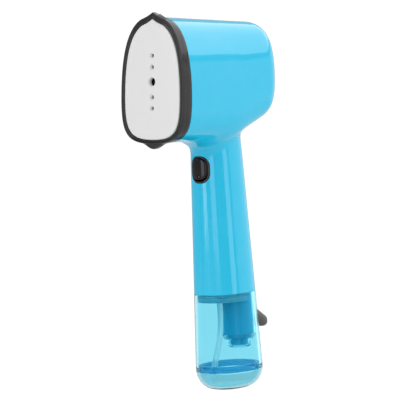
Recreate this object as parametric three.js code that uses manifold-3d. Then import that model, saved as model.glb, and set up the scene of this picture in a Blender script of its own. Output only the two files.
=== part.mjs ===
// A handheld garment steamer: an upright steam head with a near-vertical soleplate, a leaning tapered
// handle with a front trigger, and a clear water tank that slides down off the end of the handle.
// Frame: millimetres, +Z up, +X the user's left, the soleplate faces -Y, and the origin is the middle
// of the hand grip, on the handle's axis.
import * as THREE from 'three';
import { LoftGeometry } from 'three/addons/geometries/LoftGeometry.js';
import { mergeVertices } from 'three/addons/utils/BufferGeometryUtils.js';
import Module from 'manifold-3d';

const wasm = await Module();
wasm.setup();

// ---- driving dimensions ----
const GAP = 0.3; // clearance between neighbouring pieces
const WALL = 2.2; // moulded shell wall

// Steam unit, measured back from the soleplate's face, which lies at y = FACE_Y in the object's frame.
const FACE_Y = -77.3;
const PLATE = { halfWidth: 27.9, bottom: 73, top: 163.4, depth: 3 };
const RING = { halfWidth: 31.9, bottom: 70, top: 168.3, front: 0.3, rear: 4.6 };
const COLLAR = { halfWidth: 31.3, bottom: 70.5, top: 167.2, front: 4.9, rear: 10 };
const CHIN = { halfWidth: 10.5, drop: 3.8, front: 1.6 };

// head shell, in the object's frame
const HEAD_FRONT_Y = FACE_Y + COLLAR.rear + GAP;
const HEAD_CORNER_Y = 28.3; // where the rear corners begin
const HEAD_CORNER = 14; // rear corner radius in plan
const HEAD_HALF_WIDTH = 31.5; // at the collar
const HEAD_SIDE_TAPER = 0.066; // half-width lost per mm towards the rear
const HEAD_UNDERSIDE = 71.2;
const HEAD_RISE = { from: -9, slope: 0.44 }; // the underside climbs behind the handle
const HEAD_RIDGE = 164.9; // top of the shell at the collar
const RIDGE_FALL = 0.026;
const STEAM_HOLES = [
  { z: 135.9, radius: 1.35 },
  { z: 127.4, radius: 1.35 },
  { z: 116.4, radius: 2.9 },
  { z: 104.9, radius: 1.35 },
  { z: 96.6, radius: 1.35 },
];

// handle, in the handle's own frame: Z runs up its axis, which leans back going down
const LEAN = THREE.MathUtils.degToRad(5.24);
const GRIP = { halfWidth: 19.8, halfDepth: 22 }; // half-axes of its section at the origin
const TAPER = { width: 0.033, depth: 0.0355 }; // half-axis gained per mm going down
const ROUNDNESS = 2.3; // exponent of the section's superellipse
const JOINT_Z = -43.2; // top of the tank
const SEAM_Z = -100; // weld between tank body and base
const TANK_FLOOR_Z = -116.2;
const TANK_WALL = 2;
// fillet where the handle meets the head's underside
const NECK = { top: 77.4, climb: 7.4, crown: 1.6, side: 5.5, shift: 0.2, deep: 2.8 };

// trigger window, on the handle's front
const TRIGGER = { z: 52.1, width: 18.5, height: 20.7, corner: 5.5 };
const PIVOT = { y: -13.5, z: 58.1 };

// tail housing inside the tank's rear well
const TAIL = { y: 13, radius: 11.8, shoulder: -76, floor: -79.2, nubRadius: 6.5, nubEnd: -84.6 };
const WELL_GAP = 0.5;
const WELL_WALL = 1.5;
const GLAND_DROOP = THREE.MathUtils.degToRad(35.3);
const GLAND = { y: 16.4, z: -53.4, radius: 4.65, bore: 2.7, length: 33.1 };

// ---- finishes ----
function finish(color, roughness, metalness = 0, extra = {}) {
  return new THREE.MeshStandardMaterial({ color, roughness, metalness, ...extra });
}
const CYAN_SHELL = () => finish(0x35c4e8, 0.2);
const CYAN_CLEAR = () => finish(0x7fd4ea, 0.08, 0, { transparent: true, opacity: 0.5 });
const BLACK_GLOSS = () => finish(0x26262a, 0.2);
const BLACK_SATIN = () => finish(0x3a3a3d, 0.45);
const PALE_CERAMIC = () => finish(0xdfdfdf, 0.4);
const CAST_ALUMINIUM = () => finish(0xb9bcc0, 0.5, 1);
const STEEL = () => finish(0xc4c7cb, 0.3, 1);
const BRASS = () => finish(0xc9a44c, 0.35, 1);
const SILICONE = () => finish(0xd8d4cc, 0.6);
const GREY_RUBBER = () => finish(0x6a6763, 0.7);
const NYLON = () => finish(0xe6e2d8, 0.5);
const BOARD_GREEN = () => finish(0x2c6b45, 0.5);

// ---- solids: closed geometry in, joined or cut geometry out ----
function solid(geometry) {
  const bare = new THREE.BufferGeometry().copy(geometry);
  bare.deleteAttribute('normal');
  bare.deleteAttribute('uv');
  const merged = mergeVertices(bare, 1e-4);
  const triVerts = new Uint32Array(merged.index.array);
  const build = () => new wasm.Manifold(new wasm.Mesh({
    numProp: 3,
    vertProperties: merged.attributes.position.array,
    triVerts,
  }));
  const made = build();
  if (made.volume() > 0) return made;
  for (let i = 0; i < triVerts.length; i += 3) {
    [triVerts[i + 1], triVerts[i + 2]] = [triVerts[i + 2], triVerts[i + 1]];
  }
  return build();
}

function geometryOf(made) {
  const mesh = made.getMesh();
  const geometry = new THREE.BufferGeometry();
  geometry.setAttribute('position', new THREE.BufferAttribute(mesh.vertProperties, 3));
  geometry.setIndex(new THREE.BufferAttribute(mesh.triVerts, 1));
  geometry.computeVertexNormals();
  return geometry;
}

// A capped skin over sections that wind counterclockwise as seen from the last one.
const loft = (sections) => solid(new LoftGeometry(sections, { capStart: true, capEnd: true }));

const join = (first, ...others) => others.reduce((sum, other) => sum.add(other), first);
const cut = (first, ...others) => others.reduce((left, other) => left.subtract(other), first);

function box(x0, x1, y0, y1, z0, z1) {
  const geometry = new THREE.BoxGeometry(x1 - x0, y1 - y0, z1 - z0);
  return solid(geometry.translate((x0 + x1) / 2, (y0 + y1) / 2, (z0 + z1) / 2));
}

// A turned piece from [radius, height] pairs; its axis is Z before `matrix` places it.
function turned(profile, segments = 20, matrix = new THREE.Matrix4()) {
  const points = profile.map(([radius, height]) => new THREE.Vector2(radius, height));
  const geometry = new THREE.LatheGeometry(points, segments);
  return solid(geometry.rotateX(Math.PI / 2).applyMatrix4(matrix));
}

const alongX = (x, y, z) => new THREE.Matrix4().makeRotationY(Math.PI / 2).setPosition(x, y, z);
const alongY = (x, y, z) => new THREE.Matrix4().makeRotationX(-Math.PI / 2).setPosition(x, y, z);
const alongZ = (x, y, z) => new THREE.Matrix4().makeTranslation(x, y, z);

function rod(radius, length, matrix, segments = 14) {
  return turned([[0, 0], [radius, 0], [radius, length], [0, length]], segments, matrix);
}

function sleeve(inner, outer, length, matrix, segments = 18) {
  const profile = [[inner, 0], [outer, 0], [outer, length], [inner, length], [inner, 0]];
  return turned(profile, segments, matrix);
}

// A round section swept along a smooth curve through `points`.
function swept(points, radius, steps, sides = 8) {
  const route = new THREE.CatmullRomCurve3(points.map((p) => new THREE.Vector3(...p)));
  const section = new THREE.Shape();
  for (let i = 0; i < sides; i += 1) {
    const angle = (i / sides) * 2 * Math.PI;
    section[i ? 'lineTo' : 'moveTo'](radius * Math.cos(angle), radius * Math.sin(angle));
  }
  return solid(new THREE.ExtrudeGeometry(section, { steps, extrudePath: route }));
}

// An outline in the XZ plane, extruded from y = front back to y = rear.
function slab(outline, front, rear, bevel = 0, holes = []) {
  const shape = new THREE.Shape(outline);
  shape.holes = holes.map((hole) => new THREE.Path(hole));
  const geometry = new THREE.ExtrudeGeometry(shape, {
    depth: rear - front - 2 * bevel,
    bevelEnabled: bevel > 0,
    bevelThickness: bevel,
    bevelSize: bevel,
    bevelOffset: -bevel,
    bevelSegments: 1,
    curveSegments: 8,
  });
  return solid(geometry.rotateX(Math.PI / 2).translate(0, rear - bevel, 0));
}

function circle(x, z, radius, sides = 16) {
  return new THREE.EllipseCurve(x, z, radius, radius).getPoints(sides).slice(0, sides);
}

// ---- outlines ----
// Half of the head's section, from the bottom centre round the side to the top centre. x is in
// half-widths and z runs from 0 at the bottom to 1 at the top.
const SIDE_HEIGHT = 0.344;
const LOWER_ARC = [[0, 0], [0.82, 0], [1, 0.07], [1, SIDE_HEIGHT]];
const SHELL_ARC = [[1, SIDE_HEIGHT], [1, 0.66], [0.8, 0.965], [0, 1]];
const SHOULDER_ARC = [[1, SIDE_HEIGHT], [1, 0.6], [0.9, 0.862], [0.367, 0.948]];
const NIB_ARC = [[0.367, 0.948], [0.1435, 0.97], [0, 1]];

function arcPoints(arc, count) {
  const handles = arc.map(([x, z]) => new THREE.Vector2(x, z));
  const Curve = handles.length === 4 ? THREE.CubicBezierCurve : THREE.QuadraticBezierCurve;
  return new Curve(...handles).getPoints(count);
}

function mirrored(half, { halfWidth, bottom, top }, inset = 0) {
  const right = half.map((p) => new THREE.Vector2(
    p.x * (halfWidth - inset),
    bottom + inset + p.y * (top - bottom - 2 * inset),
  ));
  const left = right.slice(1, -1).reverse().map((p) => new THREE.Vector2(-p.x, p.y));
  return [...right, ...left];
}

function joinArcs(arcs, count) {
  return arcs.flatMap((arc, i) => arcPoints(arc, count[i]).slice(i ? 1 : 0));
}

// The soleplate's outline: a rounded foot, near-straight sides and a small pointed nib.
const ironHalf = joinArcs([LOWER_ARC, SHOULDER_ARC, NIB_ARC], [6, 7, 2]);
const ironOutline = (size, inset = 0) => mirrored(ironHalf, size, inset);
// The shell's section: the same without the nib.
const shellHalf = joinArcs([LOWER_ARC, SHELL_ARC], [6, 8]);

// ---- head and handle volumes, inset by any wall ----
function headSection(y, inset, corner) {
  const size = {
    halfWidth: HEAD_HALF_WIDTH - HEAD_SIDE_TAPER * (y - HEAD_FRONT_Y) - corner,
    bottom: HEAD_UNDERSIDE + HEAD_RISE.slope * Math.max(0, y - HEAD_RISE.from) + 0.75 * corner,
    top: HEAD_RIDGE - RIDGE_FALL * (y - HEAD_FRONT_Y) - 0.7 * corner,
  };
  return mirrored(shellHalf, size, inset).map((p) => new THREE.Vector3(p.x, y, p.y)).reverse();
}

function headVolume(inset, front) {
  const sections = [front, -45, -25, HEAD_RISE.from, 8, HEAD_CORNER_Y].map((y) => headSection(y, inset, 0));
  const radius = HEAD_CORNER - inset;
  for (const degrees of [22, 42, 60, 76, 90]) {
    const turn = THREE.MathUtils.degToRad(degrees);
    const y = HEAD_CORNER_Y + radius * Math.sin(turn);
    sections.push(headSection(y, inset, radius * (1 - Math.cos(turn))));
  }
  return loft(sections);
}

// Moves a solid from the handle's frame into the object's frame.
const leaned = (made) => made.rotate([THREE.MathUtils.radToDeg(LEAN), 0, 0]);

const gripHalfWidth = (z) => GRIP.halfWidth - TAPER.width * z;
const gripHalfDepth = (z) => GRIP.halfDepth - TAPER.depth * z;

function gripSection(z, inset, rise = () => 0, count = 24) {
  const points = [];
  for (let i = 0; i < count; i += 1) {
    const angle = (i / count) * 2 * Math.PI;
    const [c, s] = [Math.cos(angle), Math.sin(angle)];
    const bend = (value) => Math.sign(value) * Math.abs(value) ** (2 / ROUNDNESS);
    points.push(new THREE.Vector3(
      bend(c) * (gripHalfWidth(z) - inset),
      bend(s) * (gripHalfDepth(z) - inset),
      z + rise(s),
    ));
  }
  return points;
}

// The plain tapering grip between two heights.
const gripVolume = (inset, from, to) => loft([gripSection(from, inset), gripSection(to, inset)]);

// The handle with its flared neck. `back` runs from -1 at the handle's front to +1 at its rear; the
// flare ends higher towards the rear, where the head's underside climbs, and is tightest at the sides.
const neckTop = (back) => NECK.top + NECK.climb * back + NECK.crown * back * back;
const neckRadius = (back) => NECK.side + NECK.shift * back + NECK.deep * back * back;

function neckSection(degrees, inset, lift = 0) {
  const turn = THREE.MathUtils.degToRad(degrees);
  return gripSection(NECK.top, 0).map((point, i, all) => {
    const back = Math.sin((i / all.length) * 2 * Math.PI);
    const radius = neckRadius(back);
    const z = neckTop(back) - radius * (1 - Math.sin(turn)) + lift;
    const flare = radius * (1 - Math.cos(turn));
    const [a, b] = [gripHalfWidth(z), gripHalfDepth(z)];
    const scaleX = (a + flare - inset) / gripHalfWidth(NECK.top);
    const scaleY = (b + flare - inset) / gripHalfDepth(NECK.top);
    return new THREE.Vector3(point.x * scaleX, point.y * scaleY, z);
  });
}

function handleVolume(inset, from) {
  const flared = [0, 30, 55, 75, 90].map((degrees) => neckSection(degrees, inset));
  const sections = [gripSection(from, inset), gripSection(40, inset), ...flared, neckSection(90, inset, 6)];
  return leaned(loft(sections));
}

// ---- trigger window ----
function windowOutline(margin) {
  const [w, h] = [TRIGGER.width / 2 + margin, TRIGGER.height / 2 + margin];
  const r = TRIGGER.corner + margin;
  const shape = new THREE.Shape();
  shape.moveTo(-w + r, -h);
  shape.lineTo(w - r, -h).quadraticCurveTo(w, -h, w, -h + r);
  shape.lineTo(w, h - r).quadraticCurveTo(w, h, w - r, h);
  shape.lineTo(-w + r, h).quadraticCurveTo(-w, h, -w, h - r);
  shape.lineTo(-w, -h + r).quadraticCurveTo(-w, -h, -w + r, -h);
  return shape.getPoints(3).map((p) => new THREE.Vector2(p.x, p.y + TRIGGER.z));
}

const windowPrism = (margin, front = -30, rear = -8) => slab(windowOutline(margin), front, rear);
// The layer of the handle's front between two depths under its surface.
const frontLayer = (outer, inner) => gripVolume(outer, 30, 80).subtract(gripVolume(inner, 29, 81));

function triggerBezel() {
  const rim = windowPrism(-GAP).intersect(frontLayer(-0.35, 4));
  const flange = windowPrism(2.2).intersect(frontLayer(WALL + GAP + 0.1, 4));
  const frame = cut(join(rim, flange), windowPrism(-1.5));
  const ears = [-9.4, 7.9].map((x) => box(x, x + 1.5, -15.3, -11.7, 55.4, 59.8));
  const inside = gripVolume(WALL + GAP + 0.1, 30, 80);
  const pinHole = rod(1.3, 24, alongX(-12, PIVOT.y, PIVOT.z), 10);
  return cut(join(frame, ...ears.map((ear) => ear.intersect(inside))), pinHole);
}

function trigger() {
  const face = windowPrism(-2.0, -30, -15.5).intersect(gripVolume(-1.0, 30, 80));
  const hollow = box(-5.6, 5.6, -17.8, -15, TRIGGER.z - 7.2, 54.6);
  const barrel = join(
    rod(2.3, 10, alongX(-5, PIVOT.y, PIVOT.z)),
    box(-5, 5, -16.5, PIVOT.y, PIVOT.z - 1.8, PIVOT.z + 1.8),
  );
  const pusher = box(-1.4, 1.4, -18.2, -12.3, 44.2, 46.4);
  const springSeat = rod(2.6, 1.6, alongY(0, -18.2, 51));
  const bored = join(cut(face, hollow), barrel, pusher, springSeat);
  const lowered = box(-12, 12, -30, -10, 30, TRIGGER.z - TRIGGER.height / 2 + 2.6);
  return cut(bored, rod(1.3, 24, alongX(-12, PIVOT.y, PIVOT.z)), lowered, rod(1.5, 8, alongY(0, -24, 46.9)));
}

function indicatorLens() {
  return turned([[0, 0], [1.2, 0], [1.2, 3], [0.8, 3.5], [0, 3.6]], 12,
    new THREE.Matrix4().makeRotationX(Math.PI / 2).setPosition(0, -17.7, 46.9));
}

function triggerSpring() {
  const points = [];
  const [turns, steps, length] = [4, 7, 6];
  for (let i = 0; i <= turns * steps; i += 1) {
    const angle = (i / steps) * 2 * Math.PI;
    points.push([1.7 * Math.cos(angle), -16.1 + (length * i) / (turns * steps), 51 + 1.7 * Math.sin(angle)]);
  }
  return swept(points, 0.3, turns * steps, 4);
}

// ---- shells ----
const SHELL_SCREWS = [
  { y: 8, z: 148, leaning: false },
  { y: 24, z: 108, leaning: false },
  { y: 14.6, z: 43.6, leaning: true },
  { y: 16, z: -24, leaning: true },
];
const POST = { radius: 3.4, pilot: 1.5, clearance: 1.8, counterbore: 2.6, floor: -5.5 };

// A rod along X from x0 to x1 on a screw's axis, in the object's frame.
function screwRod(screw, radius, x0, x1) {
  const made = rod(radius, x1 - x0, alongX(x0, screw.y, screw.z), 12);
  return screw.leaning ? leaned(made) : made;
}

function shells() {
  const outer = join(headVolume(0, HEAD_FRONT_Y), handleVolume(0, JOINT_Z + GAP));
  const inner = join(headVolume(WALL, HEAD_FRONT_Y - 5), handleVolume(WALL, JOINT_Z - 10));
  const reach = join(headVolume(WALL / 2, HEAD_FRONT_Y), handleVolume(WALL / 2, JOINT_Z + 5));
  const skin = cut(outer, inner, leaned(windowPrism(0)));
  const left = skin.intersect(box(GAP / 2, 60, -100, 100, -60, 200));
  const right = skin.intersect(box(-60, -GAP / 2, -100, 100, -60, 200));
  const posts = (x0, x1) => SHELL_SCREWS.map((s) => screwRod(s, POST.radius, x0, x1).intersect(reach));
  return {
    left: cut(
      join(left, ...posts(GAP / 2, 50)),
      ...SHELL_SCREWS.map((s) => screwRod(s, POST.pilot, -1, 9)),
    ),
    right: cut(
      join(right, ...posts(-50, -GAP / 2)),
      ...SHELL_SCREWS.map((s) => screwRod(s, POST.clearance, -60, 1)),
      ...SHELL_SCREWS.map((s) => screwRod(s, POST.counterbore, -60, POST.floor)),
    ),
  };
}

// A pan-head screw along +X: the head's flat underside is at x = 0 before it is placed.
function shellScrew(screw) {
  const profile = [[0, -2], [1.6, -2], [2.2, -1.4], [2.2, 0], [1.2, 0], [1.2, 12.5], [0, 13.5]];
  const made = turned(profile, 12, alongX(POST.floor - GAP, screw.y, screw.z));
  return screw.leaning ? leaned(made) : made;
}

// ---- steam head front ----
function steamPlate() {
  const holes = STEAM_HOLES.map((hole) => circle(0, hole.z, hole.radius, 10));
  return slab(ironOutline(PLATE), 0, PLATE.depth, 0.4, holes);
}

function plateRing() {
  const hole = { halfWidth: PLATE.halfWidth + GAP, bottom: PLATE.bottom - GAP, top: PLATE.top + GAP };
  const band = slab(ironOutline(RING), RING.front, RING.rear, 0.6);
  const half = [[1, 1.4], [0.45, -CHIN.drop * 0.55], [0.15, -CHIN.drop]];
  const left = half.map(([x, z]) => new THREE.Vector2(-x * CHIN.halfWidth, RING.bottom + z));
  const right = half.map(([x, z]) => new THREE.Vector2(x * CHIN.halfWidth, RING.bottom + z)).reverse();
  const chin = slab([...left, ...right, new THREE.Vector2(0, RING.bottom + 2.5)], CHIN.front, RING.rear);
  return cut(join(band, chin), slab(ironOutline(hole), -5, 10));
}

function headCollar() {
  const band = slab(ironOutline(COLLAR), COLLAR.front, COLLAR.rear);
  const bore = slab(ironOutline(COLLAR, 2.6), -10, 30);
  const shelf = slab(ironOutline(COLLAR, 1), 6.3, 8.1);
  const boilerClearance = slab(ironOutline(BOILER, -0.5), -10, 30);
  const tongueSize = { halfWidth: 28.4, bottom: 74.1, top: 161.8 };
  const tongue = cut(
    slab(mirrored(shellHalf, tongueSize), 7.5, 16.5),
    slab(mirrored(shellHalf, tongueSize, 1.8), -10, 30),
  );
  return join(cut(band, bore), cut(shelf, boilerClearance), tongue);
}

// ---- boiler, behind the soleplate ----
const BOILER = { halfWidth: 25, bottom: 77, top: 158, front: 4.8, rear: 19.5 };
const CHAMBER = { halfWidth: 13, bottom: 98, top: 150 };
const COVER = { halfWidth: 20.5, bottom: 93, top: 157, front: BOILER.rear + 1.4, rear: BOILER.rear + 3.8 };
const BOILER_SCREWS = [[-16.8, 106], [16.8, 106], [-14.5, 141], [14.5, 141]];
const INLET_Z = 122;
const ELEMENT = { y: 12.4, x: 15, foot: 86, terminal: 30.5, radius: 3.2 };

function elementRoute() {
  const { x, y, foot, terminal } = ELEMENT;
  const half = [
    [x, terminal, foot],
    [x, y + 8, foot],
    [x, y + 1.6, foot + 2.5],
    [x, y, foot + 10],
    [x, y, 124],
    [0.7 * x, y, 142],
  ];
  const other = half.map(([px, py, z]) => [-px, py, z]).reverse();
  return [...half, [0, y, 146], ...other];
}

const boilerScrewHoles = (depth) => BOILER_SCREWS.map(([x, z]) => (
  rod(1.5, 10, alongY(x, BOILER.rear - depth, z), 8)
));

function boilerBody() {
  const block = slab(ironOutline(BOILER), BOILER.front, BOILER.rear);
  const steamRoom = slab(ironOutline(BOILER, 4.2), BOILER.front - 1, BOILER.front + 3);
  const chamber = slab(ironOutline(CHAMBER), BOILER.rear - 2.8, BOILER.rear + 1);
  const ribs = [[-14, 6, 110], [-6, 14, 122], [-14, 6, 134]].map(([x0, x1, z]) => (
    box(x0, x1, BOILER.rear - 3.2, BOILER.rear - 0.4, z - 1, z + 1)
  ));
  const ports = [104, 116, 139].map((z) => rod(1.8, 20, alongY(0, 2.5, z), 10));
  const element = swept(elementRoute(), ELEMENT.radius + GAP, 30);
  return cut(block, steamRoom, cut(chamber, ...ribs), ...ports, ...boilerScrewHoles(3), element);
}

const heatingElement = () => swept(elementRoute(), ELEMENT.radius, 30);

function plateGasket() {
  return cut(
    slab(ironOutline(BOILER, 0.4), PLATE.depth + GAP, BOILER.front - GAP),
    slab(ironOutline(BOILER, 3.8), -10, 10),
  );
}

function boilerGasket() {
  const sheet = slab(ironOutline(COVER, 0.8), BOILER.rear + GAP, BOILER.rear + 1.1);
  return cut(sheet, slab(ironOutline(CHAMBER, -0.3), 10, 30), ...boilerScrewHoles(3));
}

function boilerCover() {
  const plate = slab(ironOutline(COVER), COVER.front, COVER.rear);
  return cut(plate, rod(2.6, 9, alongY(0, BOILER.rear - 1, INLET_Z), 12), ...boilerScrewHoles(1));
}

function boilerScrew([x, z]) {
  const profile = [[0, -2.4], [1.2, -2.4], [1.2, 4.1], [2.4, 4.1], [2.4, 5.4], [1.8, 6], [0, 6]];
  return turned(profile, 12, alongY(x, BOILER.rear, z));
}

const inletNozzle = () => turned([
  [1, 1.8], [2.3, 1.8], [2.3, 4.1], [4.2, 4.1], [4.2, 5.6], [2.4, 5.6], [2.4, 12], [1, 12], [1, 1.8],
], 14, alongY(0, BOILER.rear, INLET_Z));

function thermostat() {
  const y = COVER.rear + GAP;
  const can = turned([[0, 0], [7, 0], [7, 2.6], [5.5, 3.2], [5.5, 4.6], [0, 4.6]], 18, alongY(0, y, 108.5));
  const tabs = [-3, 3].map((x) => box(x - 1.2, x + 1.2, y + 3.9, y + 8.4, 108.1, 108.9));
  return join(can, ...tabs);
}

const thermalFuse = () => turned([
  [0, 0], [0.5, 0], [0.5, 4], [1.9, 4.4], [1.9, 15.6], [0.5, 16], [0.5, 20], [0, 20],
], 10, alongX(-10, COVER.rear + 2.3, 147));

// ---- water path and wiring in the handle ----
const pumpBody = () => turned([
  [1, -31], [2.4, -31], [2.4, -26], [9, -26], [9, -17], [5.2, -17], [5.2, 18], [2.4, 18], [2.4, 23],
  [1, 23], [1, -31],
], 18);
const pumpCoil = () => sleeve(5.5, 10.6, 25, alongZ(0, 0, -12), 22);
const pumpYoke = () => sleeve(10.9, 12.1, 27, alongZ(0, 0, -13), 22);
const lowerBush = () => sleeve(9.3, 12.2, 7, alongZ(0, 0, -25), 18);
const upperBush = () => sleeve(5.5, 12.4, 2.6, alongZ(0, 0, 14.6), 18);
const suctionHose = () => sleeve(2.7, 4.2, 11.6, alongZ(0, 0, BASE_TOP + 0.4), 12);
const outletHose = () => swept([
  [0, -2.2, 23.4], [0, -1.8, 27], [0, 2.4, 40], [0, 2, 60], [0, -5, 82], [0, -16, 104], [0, -27, 118],
  [0, -38, INLET_Z], [0, FACE_Y + BOILER.rear + 12.4, INLET_Z],
], 2.9, 22);

function controlBoard() {
  const board = box(-12, 12, -3.6, -2.4, 30, 66);
  const relay = box(-9.5, -1.5, -9.5, -3.5, 31, 37);
  const capacitor = rod(3.2, 7, alongY(6.5, -10.4, 33.8), 12);
  return join(board, relay, capacitor);
}

const SWITCH_Z = 45.3;
const microswitch = () => cut(
  box(-3.2, 3.2, -9.6, -3.9, 39, 51.6),
  rod(1.2, 4.8, alongY(0, -10, SWITCH_Z), 10),
);
const switchPlunger = () => rod(0.9, 4.6, alongY(0, -12, SWITCH_Z), 10);

const supplyLead = (side) => swept([
  [3 * side, 13, JOINT_Z - 2.3], [3.2 * side, 13, JOINT_Z + 2], [5 * side, 12, -34],
  [12.5 * side, 7.5, -26],
  [14.2 * side, 4, -4], [13.6 * side, 3, 20], [9.5 * side, 2, 34], [8 * side, -1.6, 38],
], 1.1, 20, 6);
const elementLead = (side) => swept([
  [9 * side, -7, 60], [10.5 * side, -4.5, 67], [13 * side, -13, 79],
  [ELEMENT.x * side, -30, 85.5], [ELEMENT.x * side, FACE_Y + ELEMENT.terminal + GAP, ELEMENT.foot],
], 1.1, 14, 6);

const terminalBlock = () => join(
  box(-5.2, 5.2, 9, 17, JOINT_Z - 8.8, JOINT_Z - 4.2),
  box(-4.6, -1.4, 11, 15, JOINT_Z - 4.4, JOINT_Z - 2.7),
  box(1.4, 4.6, 11, 15, JOINT_Z - 4.4, JOINT_Z - 2.7),
);

// ---- handle foot: base, seal, tail and cord gland ----
const WELL_RADIUS = TAIL.radius + WELL_GAP + WELL_WALL;
const PLUG = { floor: JOINT_Z - 6, rear: 4.6, inset: 2.4 };
const BASE_TOP = JOINT_Z + 4.8;
const wellPost = (radius, from = -65, to = -30) => rod(radius, to - from, alongZ(0, TAIL.y, from), 24);

// The part of the tank's mouth in front of the well, inset all round.
function mouthVolume(inset, from, to, rear = PLUG.rear) {
  const front = gripVolume(inset, from, to).intersect(box(-40, 40, -40, rear, -60, -20));
  return front.subtract(wellPost(WELL_RADIUS + inset - PLUG.inset + 0.4));
}

function handleBase() {
  const plate = gripVolume(WALL + GAP, JOINT_Z + GAP, BASE_TOP);
  const plug = mouthVolume(PLUG.inset, PLUG.floor, JOINT_Z + 2);
  const nipple = rod(2.4, 4.3, alongZ(0, 0, BASE_TOP - 1), 12);
  const [low, high] = [PLUG.floor + 1.4, PLUG.floor + 3.8];
  const groove = cut(mouthVolume(1.5, low, high, 8), mouthVolume(4.3, low - 1, high + 1, 2.7));
  const leadHole = rod(6.5, 10, alongZ(0, 12.5, JOINT_Z - 2), 18);
  const channel = swept([
    [0, 0, BASE_TOP + 5], [0, 0, BASE_TOP], [0, -4, JOINT_Z], [0, HOSE_TOP_Y, PLUG.floor - 4],
  ], 1.2, 12, 6);
  return cut(join(plate, plug, nipple), groove, leadHole, channel);
}

const HOSE_TOP_Y = -6.4;
const tankSeal = () => cut(
  mouthVolume(2.35, PLUG.floor + 1.6, PLUG.floor + 3.6, 4.65),
  mouthVolume(4, PLUG.floor, PLUG.floor + 5, 3),
);

const glandAxis = () => new THREE.Matrix4()
  .makeRotationX(-(Math.PI / 2 + GLAND_DROOP))
  .setPosition(0, GLAND.y, GLAND.z);

function tailHousing() {
  const { radius, shoulder, floor, nubRadius, nubEnd, y } = TAIL;
  const outside = turned([
    [0, nubEnd], [nubRadius - 0.8, nubEnd], [nubRadius, nubEnd + 0.8], [nubRadius, floor],
    [radius - 2.6, floor], [radius, shoulder], [radius, JOINT_Z], [0, JOINT_Z],
  ], 24, alongZ(0, y, 0));
  const inside = turned([
    [0, floor + 2], [radius - 3.6, floor + 2], [radius - 2, shoulder + 1], [radius - 2, JOINT_Z + 1],
    [0, JOINT_Z + 1],
  ], 24, alongZ(0, y, 0));
  const cup = cut(
    outside.intersect(gripVolume(0.3, -95, JOINT_Z)),
    inside.intersect(gripVolume(2, -95, -30)),
  );
  const boss = box(-6, 6, 2.2, 7, CLAMP_Z - 2.5, CLAMP_Z + 2.5).intersect(wellPost(radius - 1, -80));
  const pilots = CLAMP_SCREWS_X.map((x) => rod(1.3, 4.5, alongY(x, 3.8, CLAMP_Z), 8));
  return cut(join(cup, boss), rod(GLAND.radius + GAP, 20, glandAxis(), 18), ...pilots);
}

const CLAMP_Z = -68;
const CLAMP_SCREWS_X = [-4, 4];
function cordClamp() {
  const holes = CLAMP_SCREWS_X.map((x) => rod(1.4, 6, alongY(x, 6, CLAMP_Z), 8));
  return cut(box(-6, 6, 7.3, 9.6, CLAMP_Z - 2.5, CLAMP_Z + 2.5), ...holes);
}

const clampScrew = (x) => turned([
  [0, 0], [1, 0], [1, 5.6], [1.9, 5.6], [1.9, 6.6], [1.4, 7.2], [0, 7.2],
], 10, alongY(x, 4.3, CLAMP_Z));

function cordGland() {
  const { radius, bore, length } = GLAND;
  return turned([
    [bore, 0], [radius + 1.5, 0], [radius + 1.5, 1.6], [radius, 1.6], [radius, length - radius],
    [0.94 * radius, length - 0.62 * radius], [0.78 * radius, length - 0.3 * radius],
    [bore + 0.2, length - 0.06 * radius], [bore, length - 0.06 * radius], [bore, 0],
  ], 20, glandAxis());
}

// ---- water tank ----
const FLANGE = { inset: 5.2, height: 2.2 };

function tankBody() {
  const floor = SEAM_Z + GAP / 2;
  const wall = cut(gripVolume(0, floor, JOINT_Z), gripVolume(TANK_WALL, floor - 5, JOINT_Z + 5));
  const rim = cut(
    gripVolume(1, floor, floor + FLANGE.height),
    gripVolume(FLANGE.inset, floor - 1, floor + 9),
  );
  const { shoulder, floor: tailFloor, nubRadius, nubEnd, y } = TAIL;
  const grow = WELL_GAP + WELL_WALL;
  const well = (by, lift) => turned([
    [0, nubEnd - by], [nubRadius + by, nubEnd - by], [nubRadius + by, tailFloor - by],
    [TAIL.radius - 2.6 + 0.6 * by, tailFloor - by], [TAIL.radius + by, shoulder - 0.5 * by],
    [TAIL.radius + by, JOINT_Z + lift], [0, JOINT_Z + lift],
  ], 24, alongZ(0, y, 0));
  const wellCup = well(grow, 0).intersect(gripVolume(0.5, -95, JOINT_Z));
  const land = gripVolume(1, PLUG.floor, JOINT_Z).intersect(box(-40, 40, 5, 40, -60, -30));
  return cut(join(wall, rim, wellCup, land), well(WELL_GAP, 5));
}

function domeVolume(inset, top) {
  const depth = SEAM_Z - GAP / 2 - TANK_FLOOR_Z - inset;
  const corner = 13.4 - inset;
  const start = SEAM_Z - GAP / 2;
  const sections = top > start ? [gripSection(top, inset)] : [];
  for (const degrees of [0, 22, 44, 66, 90]) {
    const turn = THREE.MathUtils.degToRad(degrees);
    const z = start - depth * Math.sin(turn);
    sections.push(gripSection(start, inset + corner * (1 - Math.cos(turn))).map((p) => p.setZ(z)));
  }
  return loft(sections.reverse());
}

function tankBase() {
  const top = SEAM_Z - GAP / 2;
  const shell = cut(domeVolume(0, top), domeVolume(TANK_WALL, top + 4));
  const rim = cut(gripVolume(1, top - FLANGE.height, top), gripVolume(FLANGE.inset, top - 9, top + 1));
  return join(shell, rim);
}

const intakeHose = () => swept([
  [0, HOSE_TOP_Y, PLUG.floor - GAP], [0, HOSE_TOP_Y, -62], [-1, -7.2, -76], [-4, -9.8, -92],
  [-6, -11.2, -102.6],
], 2.1, 16);
const filterWeight = () => turned([
  [0, -111], [2.4, -111], [3, -110.4], [3, -104.4], [2.4, -103.5], [0, -103.5],
], 14, alongZ(-6.2, -11.4, 0));

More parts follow.
